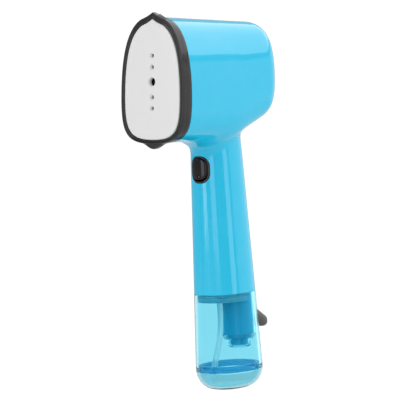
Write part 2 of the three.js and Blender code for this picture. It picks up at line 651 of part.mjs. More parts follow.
// ---- assembly ----
const steamer = new THREE.Group();
steamer.name = 'handheld_steamer';
const handle = new THREE.Group(); // everything modelled along the handle's axis
handle.name = 'handle_frame';
handle.rotation.x = LEAN;
steamer.add(handle);
const steamUnit = new THREE.Group(); // everything measured back from the soleplate's face
steamUnit.name = 'steam_unit_frame';
steamUnit.position.y = FACE_Y;
steamer.add(steamUnit);

function add(parent, name, made, material) {
  const mesh = new THREE.Mesh(geometryOf(made), material);
  mesh.name = name;
  parent.add(mesh);
}

const { left, right } = shells();
add(steamer, 'left_shell', left, CYAN_SHELL());
add(steamer, 'right_shell', right, CYAN_SHELL());
SHELL_SCREWS.forEach((screw, i) => add(steamer, `shell_screw_${i + 1}`, shellScrew(screw), STEEL()));

add(steamUnit, 'steam_plate', steamPlate(), PALE_CERAMIC());
add(steamUnit, 'plate_ring', plateRing(), BLACK_GLOSS());
add(steamUnit, 'head_collar', headCollar(), BLACK_SATIN());
add(steamUnit, 'plate_gasket', plateGasket(), SILICONE());
add(steamUnit, 'boiler_body', boilerBody(), CAST_ALUMINIUM());
add(steamUnit, 'heating_element', heatingElement(), STEEL());
add(steamUnit, 'boiler_gasket', boilerGasket(), SILICONE());
add(steamUnit, 'boiler_cover', boilerCover(), CAST_ALUMINIUM());
BOILER_SCREWS.forEach((spot, i) => add(steamUnit, `boiler_screw_${i + 1}`, boilerScrew(spot), STEEL()));
add(steamUnit, 'inlet_nozzle', inletNozzle(), BRASS());
add(steamUnit, 'thermostat', thermostat(), BLACK_SATIN());
add(steamUnit, 'thermal_fuse', thermalFuse(), STEEL());
add(steamer, 'outlet_hose', outletHose(), SILICONE());
add(steamer, 'element_lead_1', elementLead(1), GREY_RUBBER());
add(steamer, 'element_lead_2', elementLead(-1), GREY_RUBBER());

add(handle, 'trigger_bezel', triggerBezel(), BLACK_SATIN());
add(handle, 'trigger', trigger(), BLACK_GLOSS());
add(handle, 'trigger_pin', rod(1, 18.4, alongX(-9.2, PIVOT.y, PIVOT.z), 12), STEEL());
add(handle, 'trigger_spring', triggerSpring(), STEEL());
add(handle, 'indicator_lens', indicatorLens(), finish(0xb04a6a, 0.2));
add(handle, 'microswitch', microswitch(), BLACK_SATIN());
add(handle, 'switch_plunger', switchPlunger(), NYLON());
add(handle, 'control_board', controlBoard(), BOARD_GREEN());
add(handle, 'pump_body', pumpBody(), NYLON());
add(handle, 'pump_coil', pumpCoil(), BRASS());
add(handle, 'pump_yoke', pumpYoke(), STEEL());
add(handle, 'pump_bush_lower', lowerBush(), SILICONE());
add(handle, 'pump_bush_upper', upperBush(), SILICONE());
add(handle, 'suction_hose', suctionHose(), SILICONE());
add(handle, 'supply_lead_1', supplyLead(1), GREY_RUBBER());
add(handle, 'supply_lead_2', supplyLead(-1), GREY_RUBBER());
add(handle, 'terminal_block', terminalBlock(), NYLON());
add(handle, 'handle_base', handleBase(), CYAN_SHELL());
add(handle, 'tank_seal', tankSeal(), SILICONE());
add(handle, 'tail_housing', tailHousing(), CYAN_SHELL());
add(handle, 'cord_gland', cordGland(), GREY_RUBBER());
add(handle, 'cord_clamp', cordClamp(), NYLON());
CLAMP_SCREWS_X.forEach((x, i) => add(handle, `clamp_screw_${i + 1}`, clampScrew(x), STEEL()));
add(handle, 'tank_body', tankBody(), CYAN_CLEAR());
add(handle, 'tank_base', tankBase(), CYAN_CLEAR());
add(handle, 'intake_hose', intakeHose(), SILICONE());
add(handle, 'filter_weight', filterWeight(), STEEL());

export default steamer;
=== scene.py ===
"""Handheld garment steamer: the finished look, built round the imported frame."""

import math

import bpy
from mathutils import Matrix, Vector


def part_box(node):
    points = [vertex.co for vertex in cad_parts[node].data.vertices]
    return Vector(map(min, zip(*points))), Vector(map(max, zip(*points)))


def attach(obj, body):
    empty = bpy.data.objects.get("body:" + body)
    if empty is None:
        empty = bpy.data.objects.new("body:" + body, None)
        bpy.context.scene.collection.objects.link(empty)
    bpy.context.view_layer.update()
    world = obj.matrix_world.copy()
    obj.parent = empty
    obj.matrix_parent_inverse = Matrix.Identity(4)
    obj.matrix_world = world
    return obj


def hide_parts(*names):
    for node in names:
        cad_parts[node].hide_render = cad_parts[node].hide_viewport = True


bl_info = {
    "name": "Garment steamer",
    "version": (1, 0, 0),
    "blender": (4, 5, 0),
    "location": "3D View > Sidebar > Steamer",
    "description": "Builds the finished pieces of a handheld garment steamer",
    "category": "Object",
}

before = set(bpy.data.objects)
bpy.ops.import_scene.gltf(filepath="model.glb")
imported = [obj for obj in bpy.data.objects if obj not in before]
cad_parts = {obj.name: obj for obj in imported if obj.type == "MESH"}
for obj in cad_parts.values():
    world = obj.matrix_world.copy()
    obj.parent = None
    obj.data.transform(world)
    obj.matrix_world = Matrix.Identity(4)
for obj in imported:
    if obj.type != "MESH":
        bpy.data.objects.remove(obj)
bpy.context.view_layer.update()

MM = 0.001
AROUND = 96  # points round the handle's section


def span(node):
    """Lowest and highest corner of a frame node, in millimetres."""
    low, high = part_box(node)
    return low / MM, high / MM


# ---- sizes, in millimetres, from the frame ----
plate_low, plate_high = span("steam_plate")
ring_low, ring_high = span("plate_ring")
collar_low, collar_high = span("head_collar")
shell_low, shell_high = span("left_shell")
FACE_Y = plate_low.y
CHIN_DROP = 3.8
PLATE = (plate_high.x, plate_low.z, plate_high.z)  # half-width, bottom, top
RING = (ring_high.x, ring_low.z + CHIN_DROP, ring_high.z)
COLLAR = (collar_high.x, collar_low.z, collar_high.z)
HEAD_FRONT_Y = FACE_Y + 10.3
HEAD_CORNER = 14
HEAD_CORNER_Y = shell_high.y - HEAD_CORNER
HEAD_HALF_WIDTH = 31.5
HEAD_SIDE_TAPER = 0.066
HEAD_UNDERSIDE = 71.2
RISE_FROM, RISE_SLOPE = -9, 0.44
HEAD_RIDGE, RIDGE_FALL = 164.9, 0.026
STEAM_HOLES = ((135.9, 1.35), (127.4, 1.35), (116.4, 2.9), (104.9, 1.35), (96.6, 1.35))
LEAN = math.radians(5.24)
GRIP_WIDTH, GRIP_DEPTH = 19.8, 22
TAPER_WIDTH, TAPER_DEPTH = 0.033, 0.0355
ROUNDNESS = 2.3
JOINT_Z, SEAM_Z, TANK_FLOOR_Z = -43.2, -100, -116.2
GAP, TANK_WALL = 0.3, 2
NECK_TOP, NECK_CLIMB, NECK_CROWN = 77.4, 7.4, 1.6
NECK_SIDE, NECK_SHIFT, NECK_DEEP = 5.5, 0.2, 2.8
FOOT_CLEARANCE = 0.95  # share of the window's height that the trigger keeps
TRIGGER_Z, TRIGGER_WIDTH, TRIGGER_HEIGHT, TRIGGER_CORNER = 52.1, 18.5, 20.7, 7.6
TAIL_Y, TAIL_RADIUS, TAIL_SHOULDER, TAIL_FLOOR = 13, 11.8, -76, -79.2
NUB_RADIUS, NUB_END = 6.5, -84.6
WELL_GAP, WELL_WALL = 0.5, 1.5
GLAND_Y, GLAND_Z, GLAND_RADIUS, GLAND_BORE, GLAND_LENGTH = 16.4, -53.4, 4.65, 2.7, 33.1
GLAND_DROOP = math.radians(35.3)
SCREWS = ((8, 148, False), (24, 108, False), (14.6, 43.6, True), (16, -24, True))  # y, z, leans

# Half of a section from the bottom centre to the top centre, in half-widths and heights.
LOWER_ARC = ((0, 0), (0.82, 0), (1, 0.07), (1, 0.344))
SHELL_ARC = ((1, 0.344), (1, 0.66), (0.8, 0.965), (0, 1))
SHOULDER_ARC = ((1, 0.344), (1, 0.6), (0.9, 0.862), (0.367, 0.948))
NIB_ARC = ((0.367, 0.948), (0.1435, 0.97), (0, 1))


# ---- working with objects and edit mode ----
def deselect():
    if bpy.context.object and bpy.context.object.mode != "OBJECT":
        bpy.ops.object.mode_set(mode="OBJECT")
    bpy.ops.object.select_all(action="DESELECT")


def activate(obj):
    deselect()
    obj.select_set(True)
    bpy.context.view_layer.objects.active = obj


def apply_modifier(obj, kind, **settings):
    activate(obj)
    modifier = obj.modifiers.new("shape", kind)
    for key, value in settings.items():
        setattr(modifier, key, value)
    bpy.ops.object.modifier_apply(modifier=modifier.name)


def combine(obj, other, how):
    """Adds, cuts away or keeps what `other` covers, and deletes `other`."""
    apply_modifier(obj, "BOOLEAN", operation=how, object=other, solver="EXACT")
    bpy.data.objects.remove(other)
    return obj


def tidy_mesh(obj, distance=0.00001):
    activate(obj)
    bpy.ops.object.mode_set(mode="EDIT")
    bpy.ops.mesh.select_all(action="SELECT")
    bpy.ops.mesh.remove_doubles(threshold=distance)
    bpy.ops.mesh.dissolve_degenerate(threshold=distance)
    bpy.ops.mesh.normals_make_consistent(inside=False)
    bpy.ops.object.mode_set(mode="OBJECT")


def smooth(obj, degrees=38):
    activate(obj)
    bpy.ops.object.shade_smooth_by_angle(angle=math.radians(degrees))


def sheet_of_rows(name, rows, capped):
    """A grid shaped so that each row of it follows one closed section, in millimetres."""
    deselect()
    around = len(rows[0])
    bpy.ops.mesh.primitive_grid_add(x_subdivisions=around, y_subdivisions=len(rows) - 1, size=0.05)
    obj = bpy.context.object
    obj.name = name
    for index, vertex in enumerate(obj.data.vertices):
        row, column = divmod(index, around + 1)
        vertex.co = rows[row][column % around] * MM
    bpy.ops.object.mode_set(mode="EDIT")
    bpy.ops.mesh.select_all(action="SELECT")
    bpy.ops.mesh.remove_doubles(threshold=0.000001)
    if capped:
        bpy.ops.mesh.fill_holes(sides=0)
    bpy.ops.mesh.select_all(action="SELECT")
    bpy.ops.mesh.normals_make_consistent(inside=False)
    bpy.ops.object.mode_set(mode="OBJECT")
    return obj


def lofted(name, rows):
    return sheet_of_rows(name, rows, True)


def looped(name, rows):
    """A ring whose last row joins its first."""
    return sheet_of_rows(name, rows + rows[:1], False)


def block(name, low, high):
    deselect()
    bpy.ops.mesh.primitive_cube_add(size=1)
    obj = bpy.context.object
    obj.name = name
    low, high = Vector(low) * MM, Vector(high) * MM
    for vertex in obj.data.vertices:
        vertex.co = [(l + h) / 2 + c * (h - l) for l, h, c in zip(low, high, vertex.co)]
    return obj


def turned(name, profile, matrix, around=48):
    """A turned piece from radius and height pairs round Z, placed by `matrix`."""
    rows = []
    for radius, height in profile:
        turns = [2 * math.pi * i / around for i in range(around)]
        rows.append([matrix @ Vector((radius * math.cos(t), radius * math.sin(t), height)) for t in turns])
    return lofted(name, rows)


def at(x, y, z, turn="Z", leaning=False):
    """A place in the object's frame, in millimetres, with the turned axis along X, Y or Z."""
    turns = {
        "X": Matrix.Rotation(math.pi / 2, 4, "Y"),
        "Y": Matrix.Rotation(-math.pi / 2, 4, "X"),
        "Z": Matrix(),
    }
    place = Matrix.Translation((x, y, z)) @ turns[turn]
    return LEANING @ place if leaning else place


LEANING = Matrix.Rotation(LEAN, 4, "X")


def finished(obj, body, slot, material, *nodes):
    """Gives a piece its material, hides the frame nodes it stands for and parents it to the empty of the body
    that moves it. `slot` is not used.
    """
    obj.data.materials.clear()
    obj.data.materials.append(material)
    if nodes:
        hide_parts(*nodes)
    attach(obj, body)


# ---- outlines and sections ----
def bezier(handles, count):
    points = []
    for i in range(count + 1):
        t = i / count
        level = [Vector(h) for h in handles]
        while len(level) > 1:
            level = [a.lerp(b, t) for a, b in zip(level, level[1:])]
        points.append(level[0])
    return points


def half_outline(arcs):
    points = [Vector((0, 0))]
    for handles, count in arcs:
        points += bezier(handles, count)[1:]
    return points


IRON_HALF = half_outline(((LOWER_ARC, 26), (SHOULDER_ARC, 26), (NIB_ARC, 8)))
SHELL_HALF = half_outline(((LOWER_ARC, 24), (SHELL_ARC, 30)))


def outline(half, size, inset=0):
    """The whole outline as (x, z) pairs, mirrored from its half and set in all round."""
    width, bottom, top = size
    right = [((width - inset) * p.x, bottom + inset + p.y * (top - bottom - 2 * inset)) for p in half]
    return right + [(-x, z) for x, z in reversed(right[1:-1])]


def iron_row(size, y, inset=0):
    return [Vector((x, FACE_Y + y, z)) for x, z in outline(IRON_HALF, size, inset)]


def head_row(y, inset, corner):
    size = (
        HEAD_HALF_WIDTH - HEAD_SIDE_TAPER * (y - HEAD_FRONT_Y) - corner,
        HEAD_UNDERSIDE + RISE_SLOPE * max(0, y - RISE_FROM) + 0.75 * corner,
        HEAD_RIDGE - RIDGE_FALL * (y - HEAD_FRONT_Y) - 0.7 * corner,
    )
    return [Vector((x, y, z)) for x, z in outline(SHELL_HALF, size, inset)]


def head_volume(name, inset, front):
    steps = 12
    rows = [head_row(front + (HEAD_CORNER_Y - front) * i / steps, inset, 0) for i in range(steps)]
    radius = HEAD_CORNER - inset
    for degrees in range(0, 91, 6):
        turn = math.radians(degrees)
        rows.append(head_row(HEAD_CORNER_Y + radius * math.sin(turn), inset, radius * (1 - math.cos(turn))))
    return lofted(name, rows)


def grip_width(z):
    return GRIP_WIDTH - TAPER_WIDTH * z


def grip_depth(z):
    return GRIP_DEPTH - TAPER_DEPTH * z


def grip_turns():
    return [2 * math.pi * i / AROUND for i in range(AROUND)]


def bent(value):
    return math.copysign(abs(value) ** (2 / ROUNDNESS), value)


def grip_row(z, inset=0, height=None):
    """The handle's section at z, set in all round, or drawn at another height."""
    width, depth = grip_width(z) - inset, grip_depth(z) - inset
    level = z if height is None else height
    return [
        LEANING @ Vector((bent(math.cos(t)) * width, bent(math.sin(t)) * depth, level))
        for t in grip_turns()
    ]


def grip_front(x, z, proud=0):
    """How far forward the handle's front is at x and z, in the handle's own frame."""
    width, depth = grip_width(z) + proud, grip_depth(z) + proud
    return -depth * (1 - min(1, abs(x / width) ** ROUNDNESS)) ** (1 / ROUNDNESS)


def grip_volume(name, inset, low, high):
    steps = 6
    return lofted(name, [grip_row(low + (high - low) * i / steps, inset) for i in range(steps + 1)])


def neck_row(degrees, inset, lift=0):
    """The flared neck under the head; its flare ends higher towards the rear."""
    turn = math.radians(degrees)
    row = []
    for t in grip_turns():
        back = math.sin(t)
        radius = NECK_SIDE + NECK_SHIFT * back + NECK_DEEP * back * back
        crest = NECK_TOP + NECK_CLIMB * back + NECK_CROWN * back * back
        z = crest - radius * (1 - math.sin(turn)) + lift
        flare = radius * (1 - math.cos(turn)) - inset
        x = bent(math.cos(t)) * (grip_width(z) + flare)
        y = bent(math.sin(t)) * (grip_depth(z) + flare)
        row.append(LEANING @ Vector((x, y, z)))
    return row


def handle_volume(name, inset, low):
    rows = [grip_row(low + (60 - low) * i / 12, inset) for i in range(13)]
    rows += [neck_row(degrees, inset) for degrees in range(0, 91, 9)]
    rows.append(neck_row(90, inset, 6))
    return lofted(name, rows)


def window_outline(margin, corner_steps=8):
    """The trigger window's outline as (x, z) pairs in the handle's own frame."""
    half_x, half_z = TRIGGER_WIDTH / 2 + margin, TRIGGER_HEIGHT / 2 + margin
    radius = TRIGGER_CORNER + margin
    points = []
    for quarter, (sx, sz) in enumerate(((1, 1), (-1, 1), (-1, -1), (1, -1))):
        for i in range(corner_steps + 1):
            t = math.pi / 2 * (quarter + i / corner_steps)
            x = sx * (half_x - radius) + radius * math.cos(t)
            points.append((x, TRIGGER_Z + sz * (half_z - radius) + radius * math.sin(t)))
    return points


# ---- finishes ----
def group_tree(name, inputs, outputs):
    tree = bpy.data.node_groups.new(name, "ShaderNodeTree")
    for label, default in inputs:
        socket = tree.interface.new_socket(name=label, in_out="INPUT", socket_type="NodeSocketFloat")
        socket.default_value = default
    for label in outputs:
        tree.interface.new_socket(name=label, in_out="OUTPUT", socket_type="NodeSocketFloat")
    return tree, tree.nodes.new("NodeGroupInput"), tree.nodes.new("NodeGroupOutput")


def moulded_grain_group():
    """Fine moulding texture: a value for roughness and a height for bump."""
    tree, given, result = group_tree(
        "moulded_grain", (("Scale", 900.0), ("Waviness", 0.3)), ("Value", "Height"))
    coords = tree.nodes.new("ShaderNodeTexCoord")
    fine = tree.nodes.new("ShaderNodeTexNoise")
    fine.inputs["Detail"].default_value = 3.0
    broad = tree.nodes.new("ShaderNodeTexNoise")
    broad.inputs["Scale"].default_value = 28.0
    broad.inputs["Detail"].default_value = 1.0
    blend = tree.nodes.new("ShaderNodeMix")
    link = tree.links.new
    link(coords.outputs["Object"], fine.inputs["Vector"])
    link(coords.outputs["Object"], broad.inputs["Vector"])
    link(given.outputs["Scale"], fine.inputs["Scale"])
    link(given.outputs["Waviness"], blend.inputs["Factor"])
    link(fine.outputs["Fac"], blend.inputs["A"])
    link(broad.outputs["Fac"], blend.inputs["B"])
    link(blend.outputs["Result"], result.inputs["Height"])
    link(fine.outputs["Fac"], result.inputs["Value"])
    return tree


def handling_marks_group():
    """Faint smudges and hairline scuffs left by handling, as a mask."""
    tree, given, result = group_tree("handling_marks", (("Smudge", 0.5), ("Scuff", 0.3)), ("Mask",))
    coords = tree.nodes.new("ShaderNodeTexCoord")
    smudge = tree.nodes.new("ShaderNodeTexNoise")
    smudge.inputs["Scale"].default_value = 45.0
    smudge.inputs["Detail"].default_value = 4.0
    smudge.inputs["Roughness"].default_value = 0.65
    stretch = tree.nodes.new("ShaderNodeMapping")
    stretch.inputs["Rotation"].default_value = (0.4, 0.9, 0.2)
    stretch.inputs["Scale"].default_value = (1.0, 1.0, 0.05)
    scuff = tree.nodes.new("ShaderNodeTexNoise")
    scuff.inputs["Scale"].default_value = 1400.0
    limit_smudge = tree.nodes.new("ShaderNodeMapRange")
    limit_smudge.inputs["From Min"].default_value = 0.5
    limit_smudge.inputs["From Max"].default_value = 0.75
    limit_scuff = tree.nodes.new("ShaderNodeMapRange")
    limit_scuff.inputs["From Min"].default_value = 0.66
    limit_scuff.inputs["From Max"].default_value = 0.74
    link = tree.links.new
    link(coords.outputs["Object"], smudge.inputs["Vector"])
    link(coords.outputs["Object"], stretch.inputs["Vector"])
    link(stretch.outputs["Vector"], scuff.inputs["Vector"])
    link(smudge.outputs["Fac"], limit_smudge.inputs["Value"])
    link(scuff.outputs["Fac"], limit_scuff.inputs["Value"])
    link(given.outputs["Smudge"], limit_smudge.inputs["To Max"])
    link(given.outputs["Scuff"], limit_scuff.inputs["To Max"])
    total = tree.nodes.new("ShaderNodeMath")
    total.operation = "MAXIMUM"
    link(limit_smudge.outputs["Result"], total.inputs[0])
    link(limit_scuff.outputs["Result"], total.inputs[1])
    link(total.outputs["Value"], result.inputs["Mask"])
    return tree


GROUPS = {}


def shared_group(name):
    makers = {"moulded_grain": moulded_grain_group, "handling_marks": handling_marks_group}
    if name not in GROUPS:
        GROUPS[name] = makers[name]()
    return GROUPS[name]


def surface(
    name, colour, marked, roughness, rough_marked, grain=900.0, waviness=0.3, bump=0.02,
    smudge=0.5, scuff=0.3, **constants,
):
    """A Principled surface whose colour and roughness move between a clean and a marked value."""
    material = bpy.data.materials.new(name)
    material.use_nodes = True
    tree = material.node_tree
    shader = tree.nodes["Principled BSDF"]
    for key, value in constants.items():
        shader.inputs[key.replace("_", " ").title().replace("Ior", "IOR")].default_value = value
    grain_node = tree.nodes.new("ShaderNodeGroup")
    grain_node.node_tree = shared_group("moulded_grain")
    grain_node.inputs["Scale"].default_value = grain
    grain_node.inputs["Waviness"].default_value = waviness
    marks = tree.nodes.new("ShaderNodeGroup")
    marks.node_tree = shared_group("handling_marks")
    marks.inputs["Smudge"].default_value = smudge
    marks.inputs["Scuff"].default_value = scuff
    tint = tree.nodes.new("ShaderNodeMix")
    tint.data_type = "RGBA"
    tint.inputs["A"].default_value = (*colour, 1)
    tint.inputs["B"].default_value = (*marked, 1)
    rough = tree.nodes.new("ShaderNodeMapRange")
    rough.inputs["To Min"].default_value = roughness
    rough.inputs["To Max"].default_value = rough_marked
    relief = tree.nodes.new("ShaderNodeBump")
    relief.inputs["Strength"].default_value = bump
    relief.inputs["Distance"].default_value = 0.0004
    link = tree.links.new
    link(marks.outputs["Mask"], tint.inputs["Factor"])
    link(tint.outputs["Result"], shader.inputs["Base Color"])
    link(marks.outputs["Mask"], rough.inputs["Value"])
    link(rough.outputs["Result"], shader.inputs["Roughness"])
    link(grain_node.outputs["Height"], relief.inputs["Height"])
    link(relief.outputs["Normal"], shader.inputs["Normal"])
    return material


MATERIALS = {}


def lighter(colour, share):
    return tuple(c + (1 - c) * share for c in colour)


def finish(name):
    """One of the steamer's finishes, built once."""
    if name in MATERIALS:
        return MATERIALS[name]
    colours = bpy.context.scene.steamer_finishes
    shell = tuple(colours.shell)
    tank = tuple(colours.tank)
    trim = tuple(colours.trim)
    plate = tuple(colours.plate)
    rubber = tuple(colours.rubber)
    recipes = {
        "shell": lambda: surface(
            "gloss_blue_plastic", shell, lighter(shell, 0.03), 0.1, 0.2, waviness=0.6, bump=0.01,
            specular_ior_level=0.5, coat_weight=0.25, coat_roughness=0.04),
        # Painted light: the tail's blue is the shell's plastic painted lighter, standing in for light lost
        # through the tank's clear walls.
        "tail": lambda: surface(
            "blue_plastic_painted_light", (0.012, 0.72, 0.92), (0.04, 0.75, 0.94), 0.2, 0.35, bump=0.02),
        "tank": lambda: surface(
            "clear_blue_plastic", tank, lighter(tank, 0.1), 0.0, 0.06, grain=300.0, waviness=0.9, bump=0.012,
            smudge=0.3, transmission_weight=1.0, ior=1.16),
        "flange": lambda: surface(
            "deep_clear_plastic", (0.1, 0.5, 0.76), (0.16, 0.56, 0.8), 0.02, 0.08, grain=300.0, waviness=0.9,
            bump=0.012, smudge=0.3, transmission_weight=0.8, ior=1.08),
        "plug": lambda: surface(
            "cloudy_plug_plastic", (0.25, 0.74, 0.9), (0.3, 0.76, 0.91), 0.15, 0.25, grain=300.0, bump=0.01,
            smudge=0.3, transmission_weight=0.45, ior=1.1),
        "trim": lambda: surface(
            "black_gloss_plastic", trim, lighter(trim, 0.04), 0.16, 0.3, bump=0.015),
        "trigger": lambda: surface(
            "polished_black_plastic", (0.005, 0.005, 0.006), (0.02, 0.02, 0.02), 0.12, 0.22, bump=0.008,
            specular_ior_level=0.3),
        "lens": lambda: surface(
            "red_lens", (0.1, 0.012, 0.014), (0.14, 0.03, 0.03), 0.15, 0.3, bump=0.01),
        "plate": lambda: surface(
            "satin_ceramic_coating", plate, lighter(plate, 0.2), 0.34, 0.46, grain=2600.0, waviness=0.1,
            bump=0.05, smudge=0.25, scuff=0.2),
        "rubber": lambda: surface(
            "grey_cable_rubber", rubber, lighter(rubber, 0.1), 0.55, 0.75,
            grain=2200.0, waviness=0.2, bump=0.12),
        "silicone": lambda: surface(
            "milky_silicone", (0.62, 0.72, 0.72), (0.7, 0.78, 0.78), 0.4, 0.55, bump=0.03,
            subsurface_weight=0.2, subsurface_scale=0.002),
        "clear_hose": lambda: surface(
            "clear_hose", (0.93, 0.985, 1.0), (0.95, 0.99, 1.0), 0.3, 0.4, bump=0.02,
            transmission_weight=0.7, ior=1.15),
        "steel": lambda: surface(
            "plated_steel", (0.55, 0.55, 0.56), (0.4, 0.39, 0.38), 0.25, 0.45,
            grain=3000.0, bump=0.04, metallic=1.0),
        "cast": lambda: surface(
            "die_cast_alloy", (0.5, 0.5, 0.51), (0.38, 0.38, 0.39), 0.45, 0.6,
            grain=1500.0, bump=0.2, metallic=1.0),
        "brass": lambda: surface(
            "turned_brass", (0.7, 0.47, 0.18), (0.5, 0.32, 0.12), 0.28, 0.45,
            grain=2600.0, bump=0.05, metallic=1.0),
        "nylon": lambda: surface(
            "natural_nylon", (0.76, 0.74, 0.66), (0.66, 0.64, 0.56), 0.42, 0.55, grain=1600.0, bump=0.05),
        "board": lambda: surface(
            "green_board", (0.02, 0.13, 0.06), (0.04, 0.2, 0.1), 0.3, 0.5, grain=1200.0, bump=0.08),
    }
    MATERIALS[name] = recipes[name]()
    return MATERIALS[name]


CARRIED = {
    "plate_gasket": "silicone", "boiler_body": "cast", "heating_element": "steel",
    "boiler_gasket": "silicone",
    "boiler_cover": "cast", "inlet_nozzle": "brass", "thermostat": "steel", "thermal_fuse": "steel",
    "outlet_hose": "silicone", "element_lead_1": "rubber", "element_lead_2": "rubber", "trigger_pin": "steel",
    "trigger_spring": "steel", "microswitch": "trim", "switch_plunger": "nylon", "control_board": "board",
    "pump_body": "nylon", "pump_coil": "brass", "pump_yoke": "steel", "pump_bush_lower": "silicone",
    "pump_bush_upper": "silicone", "suction_hose": "silicone", "supply_lead_1": "rubber",
    "supply_lead_2": "rubber", "terminal_block": "nylon", "handle_base": "plug", "tank_seal": "plug",
    "cord_clamp": "nylon", "clamp_screw_1": "steel", "clamp_screw_2": "steel", "intake_hose": "clear_hose",
    "filter_weight": "clear_hose", "indicator_lens": "lens",
}
CARRIED.update({f"shell_screw_{i}": "steel" for i in range(1, 5)})
CARRIED.update({f"boiler_screw_{i}": "steel" for i in range(1, 5)})


# ---- settings ----
class SteamerFinishes(bpy.types.PropertyGroup):
    """Colours of the steamer's finishes"""

    shell: bpy.props.FloatVectorProperty(
        name="Shell", description="Colour of the moulded shells", size=3, subtype="COLOR", min=0, max=1,
        default=(0.008, 0.55, 0.83))
    tank: bpy.props.FloatVectorProperty(
        name="Tank", description="Tint of the clear tank", size=3, subtype="COLOR", min=0, max=1,
        default=(0.46, 0.83, 0.92))
    trim: bpy.props.FloatVectorProperty(
        name="Trim", description="Colour of the ring, collar and bezel",
        size=3, subtype="COLOR", min=0, max=1,
        default=(0.011, 0.01, 0.011))
    plate: bpy.props.FloatVectorProperty(
        name="Steam plate", description="Colour of the plate's coating",
        size=3, subtype="COLOR", min=0, max=1,
        default=(0.78, 0.78, 0.78))
    rubber: bpy.props.FloatVectorProperty(
        name="Rubber", description="Colour of the cord gland", size=3, subtype="COLOR", min=0, max=1,
        default=(0.1, 0.095, 0.09))


class SteamerSizes(bpy.types.PropertyGroup):
    """Sizes that only the finished pieces have"""

    wall: bpy.props.FloatProperty(
        name="Shell wall", description="Thickness of the moulded shells", unit="LENGTH", default=2.2 * MM,
        min=1 * MM, max=4 * MM)
    seam: bpy.props.FloatProperty(
        name="Seam", description="Half the line between the two shells", unit="LENGTH", default=0.05 * MM,
        min=0.01 * MM, max=0.2 * MM)
    trigger_crown: bpy.props.FloatProperty(
        name="Trigger crown", description="How far the trigger stands out of the handle", unit="LENGTH",
        default=1.0 * MM, min=0, max=1.5 * MM)
    ambience: bpy.props.FloatProperty(
        name="Studio ambience", description="Strength of the white studio around", default=0.5, min=0, max=4)


# ---- shells ----
def outer_body():
    """Head and handle in one skin, remeshed so that the fillet between them is soft."""
    body = combine(head_volume("body", 0, HEAD_FRONT_Y - 6), handle_volume("grip", 0, JOINT_Z - 6), "UNION")
    apply_modifier(body, "REMESH", mode="VOXEL", voxel_size=0.95 * MM, adaptivity=0)
    relax_neck(body)
    apply_modifier(body, "SMOOTH", factor=0.5, iterations=12)
    return body


def side_of(x_sign, seam):
    low = (seam if x_sign > 0 else -60, HEAD_FRONT_Y, -60)
    high = (60 if x_sign > 0 else -seam, 100, 200)
    return block("side", low, high)


def screw_cylinders(radius, x0, x1):
    """One cylinder along X on each screw's axis, as one object."""
    made = [turned("screw", ((radius, 0), (radius, x1 - x0)), at(x0, y, z, "X", leaning), 32)
            for y, z, leaning in SCREWS]
    activate(made[0])
    for other in made[1:]:
        other.select_set(True)
    bpy.ops.object.join()
    return made[0]


def copy_of(obj):
    other = obj.copy()
    other.data = obj.data.copy()
    bpy.context.scene.collection.objects.link(other)
    return other


def relax_neck(body):
    """Softens the fillet where the handle meets the head's underside."""
    group = body.vertex_groups.new(name="neck")
    for vertex in body.data.vertices:
        _, y, z = vertex.co / MM
        underside = 75 + RISE_SLOPE * max(0, y - RISE_FROM)
        height = 1 - min(1, max(0, abs(z - underside) - 9) / 9)
        depth = min(1, max(0, y + 48) / 14)
        if height * depth > 0:
            group.add([vertex.index], height * depth, "REPLACE")
    apply_modifier(body, "SMOOTH", factor=0.5, iterations=90, vertex_group="neck")


class STEAMER_OT_shells(bpy.types.Operator):
    """Build the two moulded shells of the head and handle"""

    bl_idname = "steamer.shells"
    bl_label = "Shells"

    def execute(self, context):
        sizes = context.scene.steamer_sizes
        wall, seam = sizes.wall / MM, sizes.seam / MM
        body = outer_body()
        below = block("below", (-60, -60, -80), (60, 90, 0))
        for vertex in below.data.vertices:
            local = LEANING.inverted() @ (vertex.co / MM)
            if vertex.co.z > -0.01:
                local.z = JOINT_Z + GAP
            vertex.co = (LEANING @ Vector((local.x, local.y, local.z))) * MM
        combine(body, below, "DIFFERENCE")
        combine(body, head_volume("hollow", wall, HEAD_FRONT_Y - 20), "DIFFERENCE")
        combine(body, handle_volume("hollow", wall, JOINT_Z - 12), "DIFFERENCE")
        window = [[LEANING @ Vector((x, y, z)) for x, z in window_outline(0)] for y in (-40, -8)]
        combine(body, lofted("window", window), "DIFFERENCE")
        reach = combine(
            head_volume("reach", wall * 0.6, HEAD_FRONT_Y),
            handle_volume("grip", wall * 0.6, JOINT_Z + 4), "UNION")
        for half, sign, side in ((body, 1, "left"), (copy_of(body), -1, "right")):
            combine(half, side_of(sign, seam), "INTERSECT")
            posts = screw_cylinders(3.4, *sorted((sign * seam, sign * 50)))
            combine(posts, copy_of(reach), "INTERSECT")
            combine(half, posts, "UNION")
            if sign < 0:
                combine(half, screw_cylinders(2.6, -60, -5.5), "DIFFERENCE")
            half.name = f"{side}_shell_skin"
            half.data.name = half.name
            tidy_mesh(half)
            smooth(half, 42)
            finished(half, "housing", "shell", finish("shell"), f"{side}_shell")
        bpy.data.objects.remove(reach)
        return {"FINISHED"}


# ---- steam head front ----
def steam_hole(z, radius):
    """A drilled hole with a dished mouth."""
    mouth = radius + (0.9 if radius < 2 else 0.7)
    profile = ((mouth + 0.6, -0.6), (mouth, 0.0), (radius + 0.25, 0.75), (radius, 1.1), (radius, 6))
    return turned("hole", profile, at(0, FACE_Y, z, "Y"), 40)


